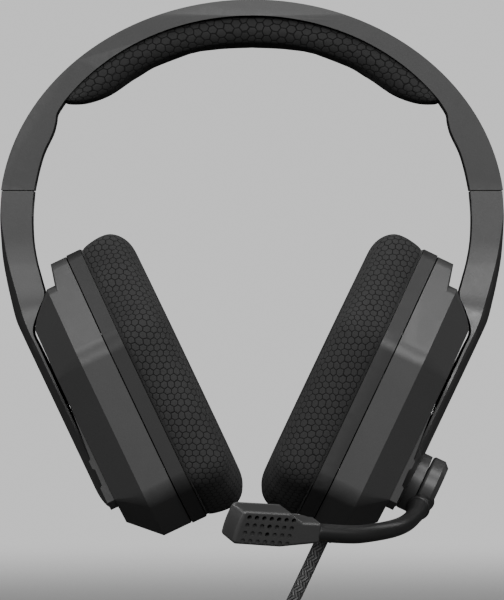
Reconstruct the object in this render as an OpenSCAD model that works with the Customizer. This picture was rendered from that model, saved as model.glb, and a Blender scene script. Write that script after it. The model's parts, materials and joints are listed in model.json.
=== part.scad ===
// Over-ear gaming headset with a boom microphone on the wearer's left.
// +X is the wearer's left, -Y is the way the wearer faces, +Z is up.
// The origin is the middle of the underside of the headband pad, where it rests on the crown.

/* [Headband] */
// Half of the width over the band at its widest point
band_half_w = 85.6; // [84:0.2:88]
// Height of the outside of the crown above the widest point
band_rise = 73.1; // [72:0.1:75]
// Thickness of the band at the crown
band_t_top = 5.4; // [5:0.1:7]
// Thickness of the band at its widest point
band_t_side = 8.1; // [7.5:0.1:9]
// Depth of the band from front to back at the crown
band_depth_top = 36; // [32:1:40]
// Depth of the band from front to back at the split
band_depth_end = 28; // [26:1:30]
// Thickness of the pad at the crown
pad_t = 10.2; // [8:0.2:12]

/* [Arms] */
// Height of the split between the band and the sliding arms
split_z = -48.8; // [-49.5:0.1:-48]
// Angle between the slide direction and the vertical
slide_tilt = 10; // [8:1:11]
// Half-width of the arm plate beside the cup
plate_half_w = 24; // [22:0.5:25]
// Wall thickness of the arm covers
arm_wall = 1.2; // [1:0.1:1.4]

/* [Ear cups] */
// Angle between a cup's long axis and the vertical
cup_tilt = 25.4; // [24:0.2:27]
// Sideways place of a cup's centre
cup_x = 39.6; // [39:0.2:42]
// Height of a cup's centre
cup_z = -114.9; // [-116:0.1:-113]
// Depth of a cup from front to back
cup_depth = 84; // [80:1:88]
// Height of a cup above its centre
cup_top = 49.3; // [48:0.1:52]
// Height of a cup below its centre
cup_bottom = 50; // [48:0.1:52]
// Thickness of an ear cushion
cushion_t = 17; // [14:0.5:19]
// Width of the cushion around the ear opening
cushion_w = 20; // [18:0.5:22]

/* [Microphone] */
// Radius of the microphone hub
hub_r = 10.7; // [9.5:0.1:11.5]
// Thickness of the boom
boom_d = 6.2; // [5.4:0.1:6.6]
// Depth of the capsule
capsule_t = 10.5; // [9:0.5:11]
// Diameter of one dimple of the capsule
dimple_d = 1.6; // [1:0.1:1.8]

/* [Cord] */
// Diameter of the braided cord
cord_d = 4.4; // [4:0.1:4.8]
// Height of the surface that the coil lies on
floor_z = -228; // [-232:1:-226]

/* [Hidden] */
$fn = 48;

LEFT = 1;
RIGHT = -1;
eps = 0.05;

// Band: two ellipses about one centre, so that the face widens from the crown to the sides
band_zc = pad_t - band_rise + band_t_top;
band_in_a = band_half_w - band_t_side;
band_in_b = band_rise - band_t_top;
band_skin = 2;
band_wall = 2.2;
liner_t = 1.8;
spring_t = 0.7;
spring_end_a = 40;
pad_end_a = 35.2;
pad_end = [band_in_a * cos(pad_end_a), band_zc + band_in_b * sin(pad_end_a)];

// Inside of the thick band end, from the pad to the split
end_line = [pad_end, [66, -22.7], [66.5, -25.6], [67.6, -29.6], [70.6, -36], [72.5, -42.5], [73.8, split_z]];

// Underside of the pad, from its middle to its end
pad_line = [[0, 0], [10.5, -0.6], [20.9, -2.4], [32.8, -6.5], [40, -10.5], [48.1, -16.3], [55.6, -19.1], [61.5, -19.5], [63.3, -19.1]];
pad_half_depth = band_depth_top / 2 - 1.6;
end_screw_p = [67.9, 0, -31.5];
end_screw_y = 10.6;

// Slider tongue, in a frame that slides along its own Z
slider_p = [76.8, 0, split_z];
slider_w = 16;
slider_t = 1.2;
slider_up = 24;
slider_down = 17;

// Cup sections along the cup's own X, which points outwards
ring_x0 = -2.9;
ring_x1 = 2.2;
belt_x0 = 2.6;
hood_x = 8.2;
ledge_x = 9.9;
belt_x1 = 12.8;
face_x = 22.4;
cup_wall = 2.2;
ledge_z = cup_top - 7.2;
shoulder_z = 16.7;
hip_z = -37.4;
top_flat = 18;
bottom_flat = 20;
bevel_w = 9.5;
arm_channel_w = 19.5;
arm_channel_d = 2.2;
trim_gap_w = 27.4;

// Arm plate beside the cup, along the cup's own X
plate_x0 = 23.6;
plate_x1 = 27.4;
plate_t = 1.4;

// Pivot between arm and cup
pivot_r = 3;
pivot_play = 0.05;

// Microphone hub, in the cup's frame
hub_u = 23;
hub_seat_x = 26.3;
hub_split_x = 30.3;
hub_cap_x0 = 30.75;
hub_cap_x1 = 36.7;

// Driver
driver_r = 20;

// Middle line of the boom, from the hub to the capsule
boom_line = [
    [58.5, -5, -154.2], [56.2, -14, -156.2], [54.4, -29, -158.8], [51.3, -44, -160.9],
    [46.9, -56, -162.3], [40.4, -66, -163.3], [33.3, -73, -163.8], [22.3, -80.5, -163]
];
capsule_yaw = 204;
capsule_roll = -17;

// Coil: layers of spiral turns one cord apart
coil_r = 24;
coil_half_w = 1.5 * cord_d + cord_d / 2;
coil_c = [-34, -1.5 * cord_d - coil_r];
tie_t = 1;
coil_layers = 4;
coil_pitch = 4.3;
coil_h = cord_d + (coil_layers - 1) * coil_pitch;
coil_z0 = floor_z + tie_t;

// Plug beside the coil, pointing along +X
plug_r = 4.4;
plug_x = 14;
plug_y = coil_c.y - coil_r - 1.5 * cord_d;
plug_z = floor_z + plug_r;
plug_len = 25;
jack_r = 1.75;
jack_len = 14;

// Cord from the collar to the coil
relief_len = 4.2;
relief_x = 8.3;
cord_exit = cup_point(relief_x, cup_bottom + relief_len);
lead_line = [
    [cord_exit.x, 0, cord_exit.y], [17.7, 0, -180.4], [13.4, 0, -189.4], [9, 0, -198.4],
    [3.6, 0, -207.4], [-3.4, 0, -215.4], [-12, 0, -221.4], [-22, 0, -224.4], [coil_c.x, 0, coil_z0 + cord_d / 2]
];

// Cord from the top of the coil to the plug
tail_line = [
    [coil_c.x, plug_y, coil_z0 + coil_h - cord_d / 2], [-26, plug_y, coil_z0 + coil_h - cord_d / 2],
    [-17, plug_y, -214.6], [-8, plug_y, -218.4], [1, plug_y, -221.8], [8, plug_y, -223.3], [plug_x, plug_y, plug_z]
];

// Arm sections: outside x and z, inside x and z, half-width, fall of the outside at its edges, cavity half-width
arm_neck = [
    [85.05, split_z - 0.3, 73.9, split_z - 0.3, 14, 0.3, 12],
    [85.6, -57.5, 74.5, -57.5, 14, 0.6, 12],
    [85.2, -66, 74.2, -66, 14, 1.3, 12],
    [84.6, -72.4, 73, -73.2, 14.2, 1.9, 12],
    [83.4, -79.2, 71.3, -79.6, 14.6, 2.4, 12],
    [81.9, -86, 70.3, -84.4, 15, 2.7, 12]
];
arm_blade = [
    arm_station(27.15, -37.4, 18.9, -36.7, 15.4, 2.9, 11.5),
    arm_station(27.35, -32, 23.3, -31.4, 17, 2.8, 11),
    arm_station(plate_x1, -25, plate_x0, -25, 19.5, 3, 12),
    arm_station(plate_x1, -14, plate_x0, -14, plate_half_w - 1, 3, 14.5),
    arm_station(plate_x1, 0, plate_x0, 0, plate_half_w, 3, 15.5),
    arm_station(plate_x1, 9, plate_x0, 9, plate_half_w - 0.2, 3, 14.5)
];
arm_foot = [
    arm_station(plate_x1, 20, plate_x0, 20, plate_half_w - 3, 3, 0),
    arm_station(plate_x1, 28, plate_x0, 28, plate_half_w - 7.5, 3, 0),
    arm_station(26.5, 32.5, plate_x0, 32.5, plate_half_w - 11.5, 2.2, 0),
    arm_station(25.2, 34.3, plate_x0, 34.3, plate_half_w - 14.5, 1, 0)
];
arm_steps = 12;

// Place in the band's X-Z plane of a point beside the left cup, outwards v and down the cup u
function cup_point(v, u) =
    [cup_x + v * cos(cup_tilt) - u * sin(cup_tilt), cup_z - v * sin(cup_tilt) - u * cos(cup_tilt)];

function arm_station(v_out, u_out, v_in, u_in, half, fall, cavity) =
    concat(cup_point(v_out, u_out), cup_point(v_in, u_in), [half, fall, cavity]);

function unit(v) = v / norm(v);

// Ellipse arc about the band's centre
function band_arc(a, b, a0, a1, n) =
    [for (i = [0:n]) let (t = a0 + (a1 - a0) * i / n) [a * cos(t), band_zc + b * sin(t)]];

function flip(points) = [for (i = [len(points) - 1:-1:0]) [-points[i].x, points[i].y]];
function reversed(points) = [for (i = [len(points) - 1:-1:0]) points[i]];

// Smooth curve through a list of points or other vectors, n steps between each pair
function curve_at(p, i, t) =
    let (a = p[max(i - 1, 0)], b = p[i], c = p[i + 1], d = p[min(i + 2, len(p) - 1)])
    0.5 * (2 * b + (c - a) * t + (2 * a - 5 * b + 4 * c - d) * t * t + (3 * b - a - 3 * c + d) * t * t * t);
function curve(p, n) =
    concat([for (i = [0:len(p) - 2]) for (k = [0:n - 1]) curve_at(p, i, k / n)], [p[len(p) - 1]]);

// One rounded corner of an outline whose points are [y, z, radius]
function corner(p, i, n) =
    let (
        m = len(p), b = [p[i].x, p[i].y],
        a = unit([p[(i + m - 1) % m].x, p[(i + m - 1) % m].y] - b),
        c = unit([p[(i + 1) % m].x, p[(i + 1) % m].y] - b),
        half = acos(a * c) / 2,
        centre = b + unit(a + c) * p[i][2] / sin(half),
        s = b + a * p[i][2] / tan(half) - centre,
        e = b + c * p[i][2] / tan(half) - centre,
        a0 = atan2(s.y, s.x),
        turn = (atan2(e.y, e.x) - a0 + 540) % 360 - 180
    )
    [for (k = [0:n]) centre + p[i][2] * [cos(a0 + turn * k / n), sin(a0 + turn * k / n)]];
function rounded(p, n = 4) = [for (i = [0:len(p) - 1]) each corner(p, i, n)];

// The same outline moved inwards by d (outwards if d is negative)
function inset(p, d) =
    [for (i = [0:len(p) - 1])
        let (
            m = len(p),
            e1 = unit([p[i].x - p[(i + m - 1) % m].x, p[i].y - p[(i + m - 1) % m].y]),
            e2 = unit([p[(i + 1) % m].x - p[i].x, p[(i + 1) % m].y - p[i].y]),
            n1 = [-e1.y, e1.x], n2 = [-e2.y, e2.x],
            q = [p[i].x, p[i].y] + d * (n1 + n2) / (1 + n1 * n2)
        )
        [q.x, q.y, max(1, p[i][2] - d)]];

// Corners of the cup's side outline, cut off flat at height top
function cup_corners(top) =
    let (half = cup_depth / 2, ty = top_flat + (cup_top - top) * (half - top_flat) / (cup_top - shoulder_z))
    [
        [bottom_flat, -cup_bottom, 6], [half, hip_z, 8], [half, shoulder_z, 12], [ty, top, 6],
        [-ty, top, 6], [-half, shoulder_z, 12], [-half, hip_z, 8], [-bottom_flat, -cup_bottom, 6]
    ];

// Cross-section of the plate that closes the inside of an arm
function plate_section(s) =
    let (i = [s[2], s[3]], p = i + plate_t * unit([s[0], s[1]] - i), half = s[6] - 0.1)
    [[p.x, half, p.y], [p.x, -half, p.y], [i.x, -half, i.y], [i.x, half, i.y]];

// Cross-section of an arm: a crowned outside and a flat inside
function arm_section(s, half, outer, inner) =
    let (
        o = [s[0], s[1]], i = [s[2], s[3]], d = unit(i - o), k = s[5] / (s[4] * s[4]),
        q = i + d * inner
    )
    concat(
        [for (j = [0:arm_steps])
            let (y = half * (1 - 2 * j / arm_steps), p = o + d * (outer + k * y * y)) [p.x, y, p.y]],
        [[q.x, -half, q.y], [q.x, half, q.y]]
    );

// Ring of points around a path point, for a path that never runs along ref
function tube_ring(p, i, r, sides, ref) =
    let (
        t = unit(p[min(i + 1, len(p) - 1)] - p[max(i - 1, 0)]),
        a = unit(cross(t, ref)), b = cross(t, a)
    )
    [for (k = [0:sides - 1]) p[i] + r * (a * cos(360 * k / sides) + b * sin(360 * k / sides))];

// Closed solid through rings of equal point counts
module loft(rings) {
    m = len(rings[0]);
    n = len(rings);
    polyhedron(
        points = [for (r = rings) each r],
        faces = concat(
            [[for (j = [0:m - 1]) j]],
            [for (i = [0:n - 2]) for (j = [0:m - 1]) [i * m + j, (i + 1) * m + j, (i + 1) * m + (j + 1) % m]],
            [for (i = [0:n - 2]) for (j = [0:m - 1]) [i * m + j, (i + 1) * m + (j + 1) % m, i * m + (j + 1) % m]],
            [[for (j = [m - 1:-1:0]) (n - 1) * m + j]]
        ),
        convexity = 8
    );
}

// Tube along a path, whose diameter runs from d0 to d1
module tube(path, d0, d1, sides, ref) {
    n = len(path) - 1;
    loft([for (i = [0:n]) tube_ring(path, i, (d0 + (d1 - d0) * i / n) / 2, sides, ref)]);
}

// Outline in the X-Z plane, extruded along Y about the middle
module sheet(points, depth) {
    rotate([90, 0, 0]) linear_extrude(depth, center = true) polygon(points);
}

// Outline in the Y-Z plane, extruded from x0 to x1
module slab(x0, x1, points) {
    translate([x0, 0, 0]) rotate([90, 0, 90]) linear_extrude(x1 - x0) polygon(points);
}

// Cylinder along X
module rod(x0, x1, r, y = 0, z = 0) {
    translate([x0, y, z]) rotate([0, 90, 0]) cylinder(h = x1 - x0, r = r);
}

module on_side(side) {
    if (side == LEFT) children();
    else mirror([1, 0, 0]) children();
}

module at_cup(side) {
    on_side(side) translate([cup_x, 0, cup_z]) rotate([0, cup_tilt, 0]) children();
}

module at_slider(side) {
    on_side(side) translate(slider_p) rotate([0, -slide_tilt, 0]) children();
}

// Pan-head screw along +X from its tip, with a cross recess
module screw(x_tip, x_head, y, z, r = 1, head_r = 2) {
    difference() {
        union() {
            rod(x_tip, x_head, r, y, z);
            rod(x_head, x_head + 1.1, head_r, y, z);
        }
        translate([x_head + 0.9, y, z]) cube([1, head_r * 1.3, 0.45], center = true);
        translate([x_head + 0.9, y, z]) cube([1, 0.45, head_r * 1.3], center = true);
    }
}

// ---------------------------------------------------------------- headband

// Block that narrows from the crown to the split, thinner by d on each side
module band_block(d) {
    top = band_depth_top / 2 - d;
    end = band_depth_end / 2 - d;
    slab(-100, 100, [[-end, split_z - 1], [end, split_z - 1], [end, split_z], [top, 10], [top, 20], [-top, 20], [-top, 10], [-end, split_z]]);
}

function split_angle(b) = asin((split_z - band_zc) / b);

module headband_shell() {
    a0 = split_angle(band_rise);
    skin_a = band_half_w - band_skin;
    skin_b = band_rise - band_skin;
    a1 = split_angle(skin_b);
    inner = concat(reversed(curve(end_line, 4)), band_arc(band_in_a, band_in_b, pad_end_a + 2, 178 - pad_end_a, 44), flip(reversed(curve(end_line, 4))));
    color("#4a4a4a") intersection() {
        difference() {
            sheet(concat(band_arc(band_half_w, band_rise, a0, 180 - a0, 72), reversed(inner)), 60);
            intersection() {
                sheet(concat(band_arc(skin_a, skin_b, a1 - 3, 183 - a1, 60), [[-60, split_z - 2], [-60, -20], [0, 0], [60, -20], [60, split_z - 2]]), 60);
                translate([0, 0, 2]) band_block(band_wall);
            }
            for (side = [LEFT, RIGHT]) {
                at_slider(side) cube([slider_t + 0.5, slider_w + 0.6, 20], center = true);
            }
        }
        band_block(0);
    }
    for (side = [LEFT, RIGHT]) {
        band_end_plug(side);
        detent_ribs(side);
        color("#4a4a4a") difference() {
            for (y = [-end_screw_y, end_screw_y]) {
                on_side(side) translate(end_screw_p + [0, y, 0]) rotate([0, -28, 0]) rod(2.75, 9.7, 2.1);
            }
            end_screws(side, 1.05);
        }
    }
}

// Ribs inside the skin that carry the ends of a detent leaf
module detent_ribs(side) {
    color("#4a4a4a") intersection() {
        at_slider(side) for (z = [2.4, 12.2]) {
            translate([slider_t / 2 + 2.15, -3, z]) cube([12, 6, 1.4]);
        }
        on_side(side) sheet(concat(band_arc(band_half_w - 1, band_rise - 1, 0, 60, 40), [[20, 0], [20, band_zc]]), 20);
    }
}

// Floor of the band end: a wall across the split with a slot for the slider
module band_end_plug(side) {
    color("#4a4a4a") difference() {
        on_side(side) translate([75.6, 0, split_z + 1.25]) cube([14, band_depth_end - 2 * band_wall + 0.2, 2.5], center = true);
        at_slider(side) cube([slider_t + 0.5, slider_w + 0.6, 20], center = true);
        difference() {
            cube([400, 100, 400], center = true);
            sheet(concat(band_arc(band_half_w - 1, band_rise - 1, split_angle(band_rise) - 3, 183 - split_angle(band_rise), 72), [[0, 0]]), 80);
        }
        on_side(side) sheet(concat(curve(end_line, 4), [[60, split_z], [60, -19]]), 80);
    }
}

module headband_liner() {
    color("#303030") intersection() {
        sheet(concat(
            band_arc(band_in_a + liner_t, band_in_b + liner_t, pad_end_a + 4, 176 - pad_end_a, 44),
            band_arc(band_in_a, band_in_b, 176 - pad_end_a, pad_end_a + 4, 44)
        ), 60);
        band_block(band_wall + 0.3);
    }
}

module headband_spring() {
    a = band_in_a + liner_t + eps;
    b = band_in_b + liner_t + eps;
    color("#9a9a9a") sheet(concat(
        band_arc(a + spring_t, b + spring_t, spring_end_a, 180 - spring_end_a, 44),
        band_arc(a, b, 180 - spring_end_a, spring_end_a, 44)
    ), 16);
}

module headband_pad() {
    under = curve(pad_line, 5);
    color("#242424") sheet(concat(
        band_arc(band_in_a - eps, band_in_b - eps, pad_end_a + 1.5, 178.5 - pad_end_a, 44),
        flip(under), under
    ), 2 * pad_half_depth);
}

module end_cover(side) {
    line = curve(end_line, 4);
    color("#303030") intersection() {
        difference() {
            on_side(side) sheet(concat(line, [for (i = [len(line) - 1:-1:0]) line[i] + [liner_t, 0.9]]), 60);
            end_screws(side, 1.05);
        }
        band_block(band_wall + 0.3);
        translate([-100, -50, split_z + 2.8]) cube([200, 100, 60]);
    }
}

// Screws of one end cover, or their holes and head pockets where hole_r is given
module end_screws(side, hole_r = 0) {
    for (y = [-end_screw_y, end_screw_y]) {
        on_side(side) translate(end_screw_p + [0, y, 0]) rotate([0, -28, 0]) {
            if (hole_r > 0) {
                rod(-3, 8, hole_r);
                rod(-3, 1.85, 2.25);
            } else {
                mirror([1, 0, 0]) screw(-7, -1.8, 0, 0);
            }
        }
    }
}

module end_cover_screws() {
    color("#808080") {
        end_screws(LEFT);
        end_screws(RIGHT);
    }
}

// Bent leaf that clicks along the slider
module detent_springs() {
    color("#a0a0a0") for (side = [LEFT, RIGHT]) {
        at_slider(side) sheet([
            [slider_t / 2 + 1.7, 3.2], [slider_t / 2 + 0.4, 8], [slider_t / 2 + 1.7, 12.8], [slider_t / 2 + 2.1, 12.8],
            [slider_t / 2 + 0.8, 8], [slider_t / 2 + 2.1, 3.2]
        ], 5);
    }
}

// ---------------------------------------------------------------- arms

module slider(side) {
    color("#a8a8a8") at_slider(side) difference() {
        translate([-slider_t / 2, -slider_w / 2, -slider_down]) cube([slider_t, slider_w, slider_down + slider_up]);
        for (y = [-4.5, 4.5]) {
            rod(-2, 2, 1.1, y, -slider_down + 4);
        }
        for (z = [2:3:23]) {
            rod(-2, 2, 0.8, 0, z);
        }
    }
}

module slider_screws(side) {
    color("#808080") at_slider(side) for (y = [-4.5, 4.5]) {
        screw(-3.4, slider_t / 2 + 0.05, y, -slider_down + 4);
    }
}

module arm_body(stations, cavity) {
    loft([for (s = curve(stations, 4))
        if (cavity) arm_section(s, s[6], arm_wall, 0.6)
        else arm_section(s, s[4], 0, 0)]);
}

module arm_cover(side) {
    color("#3e3e3e") difference() {
        on_side(side) arm_body(concat(arm_neck, arm_blade, arm_foot), false);
        on_side(side) arm_body(concat([
            [84.9, split_z - 2.6, 74, split_z - 2.6, 14, 0.5, 12]], [for (i = [1:5]) arm_neck[i]], arm_blade), true);
        at_slider(side) cube([slider_t + 0.1, slider_w + 0.1, 40], center = true);
        if (side == LEFT) at_cup(LEFT) {
            rod(hub_seat_x, 40, hub_r - 0.3, 0, -hub_u);
            rod(20, 25, 2.5, 0, -hub_u);
            rod(20, 40, 1.15, 0, -hub_u);
        }
    }
}

module arm_plate(side) {
    stations = curve(concat([for (i = [1:5]) arm_neck[i]], arm_blade), 4);
    color("#2c2c2c") difference() {
        union() {
            on_side(side) loft([for (s = stations) plate_section(s)]);
            at_slider(side) translate([-3.9, -7.5, -slider_down - 1]) cube([3.2, 15, 9]);
        }
        at_slider(side) for (y = [-4.5, 4.5]) {
            rod(-3.6, 2, 1, y, -slider_down + 4);
        }
        at_cup(side) rod(20, 30, pivot_r + pivot_play);
    }
}

module pivot_pin(side) {
    color("#909090") at_cup(side) difference() {
        union() {
            rod(17.4, 25.85, pivot_r);
            rod(face_x + eps, face_x + 0.9, 6);
        }
        rod(16, 27, 1.2);
    }
}

module pivot_clip(side) {
    color("#b0b0b0") at_cup(side) difference() {
        rod(25.1, 25.65, 5);
        rod(25, 26, pivot_r);
        translate([25, -1, 2]) cube([1, 2, 4]);
    }
}

module pivot_nut(side) {
    color("#b0b0b0") at_cup(side) difference() {
        translate([18, 0, 0]) rotate([0, 90, 0]) cylinder(h = 2.1, r = 5.6, $fn = 6);
        rod(17, 21, pivot_r);
    }
}

// ---------------------------------------------------------------- ear cups

// Outside of the housing: belt, hood above it and bevel to the outer face
module cup_form() {
    full = rounded(cup_corners(cup_top));
    low = cup_corners(ledge_z);
    slab(belt_x0, hood_x, full);
    hull() {
        slab(hood_x - 0.1, hood_x, full);
        slab(ledge_x - 0.1, ledge_x, rounded(low));
    }
    slab(belt_x0, belt_x1, rounded(low));
    hull() {
        slab(belt_x1 - 0.1, belt_x1, rounded(low));
        slab(face_x - 0.1, face_x, rounded(inset(low, bevel_w)));
    }
}

module cup_cavity() {
    low = cup_corners(ledge_z - 5);
    slab(belt_x0 - 1, belt_x1 - 1, rounded(inset(low, cup_wall)));
    hull() {
        slab(belt_x1 - 1.1, belt_x1 - 1, rounded(inset(low, cup_wall)));
        slab(face_x - cup_wall - 0.1, face_x - cup_wall, rounded(inset(low, bevel_w + 1)));
    }
}

screw_spots = [[29, 20], [29, -30], [-29, 20], [-29, -30]];

module cup_housing(side) {
    color("#464646") at_cup(side) difference() {
        union() {
            difference() {
                cup_form();
                cup_cavity();
            }
            for (p = screw_spots) {
                rod(belt_x0, p.y > 0 ? 18 : face_x - 1.2, 3, p.x, p.y);
            }
        }
        for (p = screw_spots) {
            rod(belt_x0 - 1, 12, 1, p.x, p.y);
        }
        sheet([
            [belt_x1 - 0.5, ledge_z + 3], [belt_x1 - 0.5, ledge_z - arm_channel_d], [belt_x1, ledge_z - arm_channel_d],
            [face_x, ledge_z - bevel_w - arm_channel_d], [face_x + 2, ledge_z - bevel_w - arm_channel_d], [face_x + 2, ledge_z + 3]
        ], 2 * arm_channel_w);
        rod(18, 24, pivot_r + pivot_play);
        if (side == LEFT) {
            translate([relief_x, 0, -cup_bottom - 1]) cylinder(h = 6, r = 2.9);
            translate([5.9, 36, -17]) cube([4.2, 8, 18]);
        }
    }
}

// Raised rails beside the arm plate, joined by a thin plate behind it
module cup_trim(side) {
    rail = [
        [face_x + eps, 2], [23.9, -15.8], [24.7, -16.4], [24.7, -19.2], [24, -19.8], [24.2, -25.6],
        [25.1, -26.2], [25.1, -34.5], [face_x + eps, -34.5]
    ];
    color("#5a5a5a") at_cup(side) intersection() {
        difference() {
            sheet(rail, 64);
            translate([face_x + 0.75, -trim_gap_w, -50]) cube([10, 2 * trim_gap_w, 60]);
            translate([face_x - 1, -trim_gap_w, -9]) cube([10, 2 * trim_gap_w, 60]);
        }
        slab(face_x, face_x + 5, rounded(inset(cup_corners(ledge_z), bevel_w + 0.3)));
    }
}

module cup_ring(side) {
    outline = cup_corners(cup_top);
    color("#3a3a3a") at_cup(side) difference() {
        slab(ring_x0, ring_x1, rounded(inset(outline, -0.3)));
        slab(ring_x0 - 1, ring_x1 + 1, rounded(inset(outline, 16)));
        slab(0.2, ring_x1 + 1, rounded(inset(outline, 9)));
        for (p = screw_spots) {
            rod(ring_x0 - 1, ring_x1 + 1, 1.2, p.x, p.y);
            rod(ring_x0 - 1, -1.15, 2.3, p.x, p.y);
        }
    }
}

module baffle(side) {
    color("#2a2a2a") at_cup(side) difference() {
        slab(0.3, 2, rounded(inset(cup_corners(cup_top), 9.2)));
        for (ring = [0:4]) {
            for (k = [0:max(0, ring * 6 - 1)]) {
                a = ring == 0 ? 0 : 60 * k / ring;
                rod(0, 3, 1.1, 3.6 * ring * cos(a), 3.6 * ring * sin(a));
            }
        }
        for (p = screw_spots) {
            rod(-1, 3, 1.2, p.x, p.y);
        }
    }
}

module driver_basket(side) {
    color("#1c1c1c") at_cup(side) rotate([0, 90, 0]) rotate_extrude() polygon([
        [driver_r - 3, 2.1], [driver_r, 2.1], [driver_r, 4.2], [driver_r - 2, 4.2], [driver_r - 2.5, 6],
        [9.2, 9.4], [9.2, 11], [8.2, 11], [8.2, 8.4], [driver_r - 4, 5], [driver_r - 4, 3.4], [driver_r - 3, 3.4]
    ]);
}

module driver_magnet(side) {
    color("#b8b8b8") at_cup(side) rod(7.6, 11.4, 8.1);
}

module diaphragm(side) {
    color("#c8b070") at_cup(side) rotate([0, 90, 0]) rotate_extrude() polygon([
        [0, 3.1], [4, 3.3], [7.6, 4.2], [10, 3.4], [14, 3], [driver_r - 3.2, 3], [driver_r - 3.2, 3.3],
        [14, 3.3], [10, 3.7], [7.6, 4.5], [4, 3.6], [0, 3.4]
    ]);
}

module ear_cloth(side) {
    color("#151515") at_cup(side) slab(ring_x0 + 0.2, ring_x0 + 0.8, rounded(inset(cup_corners(cup_top), 16.1)));
}

module cushion(side) {
    outline = cup_corners(cup_top);
    face = ring_x0 - cushion_t;
    color("#2e2e2e") at_cup(side) difference() {
        hull() {
            slab(ring_x0 - 1, ring_x0 - eps, rounded(inset(outline, 0.4)));
            slab(ring_x0 - 11, ring_x0 - 7, rounded(inset(outline, -1.6)));
            slab(face + 3, face + 4, rounded(inset(outline, 1.6)));
            slab(face, face + 0.5, rounded(inset(outline, 7)));
        }
        slab(face - 1, ring_x0 + 1, rounded(inset(outline, cushion_w)));
    }
}

module cup_screws(side) {
    color("#808080") at_cup(side) for (p = screw_spots) {
        mirror([1, 0, 0]) screw(-11, 1.2, p.x, p.y, 0.95, 1.9);
    }
}

// ---------------------------------------------------------------- volume control

wheel_y = 35.6;
wheel_z = -8;
wheel_r = 9.4;

module circuit_board() {
    color("#2f5d3a") at_cup(LEFT) difference() {
        translate([13.4, 8, -24]) cube([1.2, 23, 32]);
        rod(13, 15, 1.2, 12, -20);
        rod(13, 15, 1.2, 12, 4);
    }
}

module volume_pot() {
    color("#505050") at_cup(LEFT) {
        rod(10.2, 12.2, 3.3, wheel_y - 0.2, wheel_z);
        rod(6.6, 10.3, 1.5, wheel_y, wheel_z);
        translate([11.6, 26, wheel_z - 3]) cube([1.7, 8, 6]);
    }
}

module volume_wheel() {
    color("#333333") at_cup(LEFT) difference() {
        rod(6.4, 9.6, wheel_r, wheel_y, wheel_z);
        rod(6, 10, 1.5 + pivot_play, wheel_y, wheel_z);
        for (k = [0:29]) {
            rod(6, 10, 0.45, wheel_y + wheel_r * cos(12 * k), wheel_z + wheel_r * sin(12 * k));
        }
    }
}

// ---------------------------------------------------------------- microphone

module mic_hub_base() {
    color("#505050") at_cup(LEFT) difference() {
        union() {
            rod(hub_seat_x + eps, hub_split_x, hub_r - 0.4, 0, -hub_u);
            rod(hub_split_x - eps, hub_cap_x0 - 0.1, 6, 0, -hub_u);
        }
        rod(20, 40, 2.55, 0, -hub_u);
    }
}

// Round boom, a little thinner at the hub
module boom_solid() {
    tube(curve(boom_line, 4), boom_d - 0.6, boom_d, 12, [0, 0, 1]);
}

module mic_hub_cap() {
    color("#3c3c3c") difference() {
        union() {
            at_cup(LEFT) translate([0, 0, -hub_u]) rotate([0, 90, 0]) rotate_extrude() polygon([
                [0, hub_cap_x0], [hub_r - 0.6, hub_cap_x0], [hub_r, hub_cap_x0 + 0.6], [hub_r, hub_cap_x1 - 1.7],
                [hub_r - 1.7, hub_cap_x1], [hub_r - 3.2, hub_cap_x1], [hub_r - 3.8, hub_cap_x1 - 0.6], [0, hub_cap_x1 - 0.6]
            ]);
            at_cup(LEFT) rod(hub_seat_x + 0.1, hub_cap_x0 + 1, 2.5, 0, -hub_u);
        }
        at_cup(LEFT) rod(20, 40, 1.05, 0, -hub_u);
        boom_solid();
    }
}

// Screw from inside the arm that holds the hub cap
module mic_hub_screw() {
    color("#909090") at_cup(LEFT) {
        rod(24.5, hub_cap_x0 + 3, 1, 0, -hub_u);
        rod(23.9, 24.9, 2.2, 0, -hub_u);
    }
}

module mic_boom() {
    color("#262626") boom_solid();
}

module at_capsule() {
    translate(boom_line[len(boom_line) - 1]) rotate([capsule_roll, 0, capsule_yaw]) children();
}

// Capsule seen from its face: neck at the left, slanted free end at the right
capsule_form = [[0.8, -2.8], [14.9, -3.95], [32.5, -2.6], [29.5, 8.95], [12.8, 7.9], [7.9, 4.7], [0.8, 4.3]];
capsule_face_y = 3.2;
capsule_back_y = capsule_face_y - capsule_t;
capsule_lid_t = 1.6;
neck_back_y = -3.2;
element_p = [20.1, 1.5, 2];

module capsule_body(inset_d, y0, y1) {
    translate([0, y1, 0]) rotate([90, 0, 0]) linear_extrude(y1 - y0) polygon([
        for (p = inset([for (q = capsule_form) [q.x, q.y, 1]], inset_d)) [p.x, p.y]
    ]);
}

// Space behind the neck, which is only as deep as the boom
module neck_cut() {
    translate([0, 0, -20]) linear_extrude(40) polygon([
        [-1, neck_back_y], [3, neck_back_y], [6.2, capsule_back_y - eps], [6.2, capsule_back_y - 2], [-1, capsule_back_y - 2]
    ]);
}

module mic_capsule_front() {
    color("#505050") at_capsule() difference() {
        capsule_body(0, capsule_back_y + capsule_lid_t, capsule_face_y);
        intersection() {
            capsule_body(1.4, capsule_back_y + capsule_lid_t - 1, capsule_face_y - 1.6);
            translate([9.5, -20, -20]) cube([40, 40, 40]);
        }
        neck_cut();
        for (row = [0:3]) {
            for (col = [0:6]) {
                deep = col == 3 && (row == 1 || row == 2);
                translate([27.5 - 2.7 * col + 0.48 * row, capsule_face_y + 1, 6.65 - 0.215 * col - 2.69 * row]) rotate([90, 0, 0])
                    cylinder(h = deep ? 4 : (row == 0 ? 2.2 : 1.5), r = dimple_d / 2, $fn = 16);
            }
        }
    }
}

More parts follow.
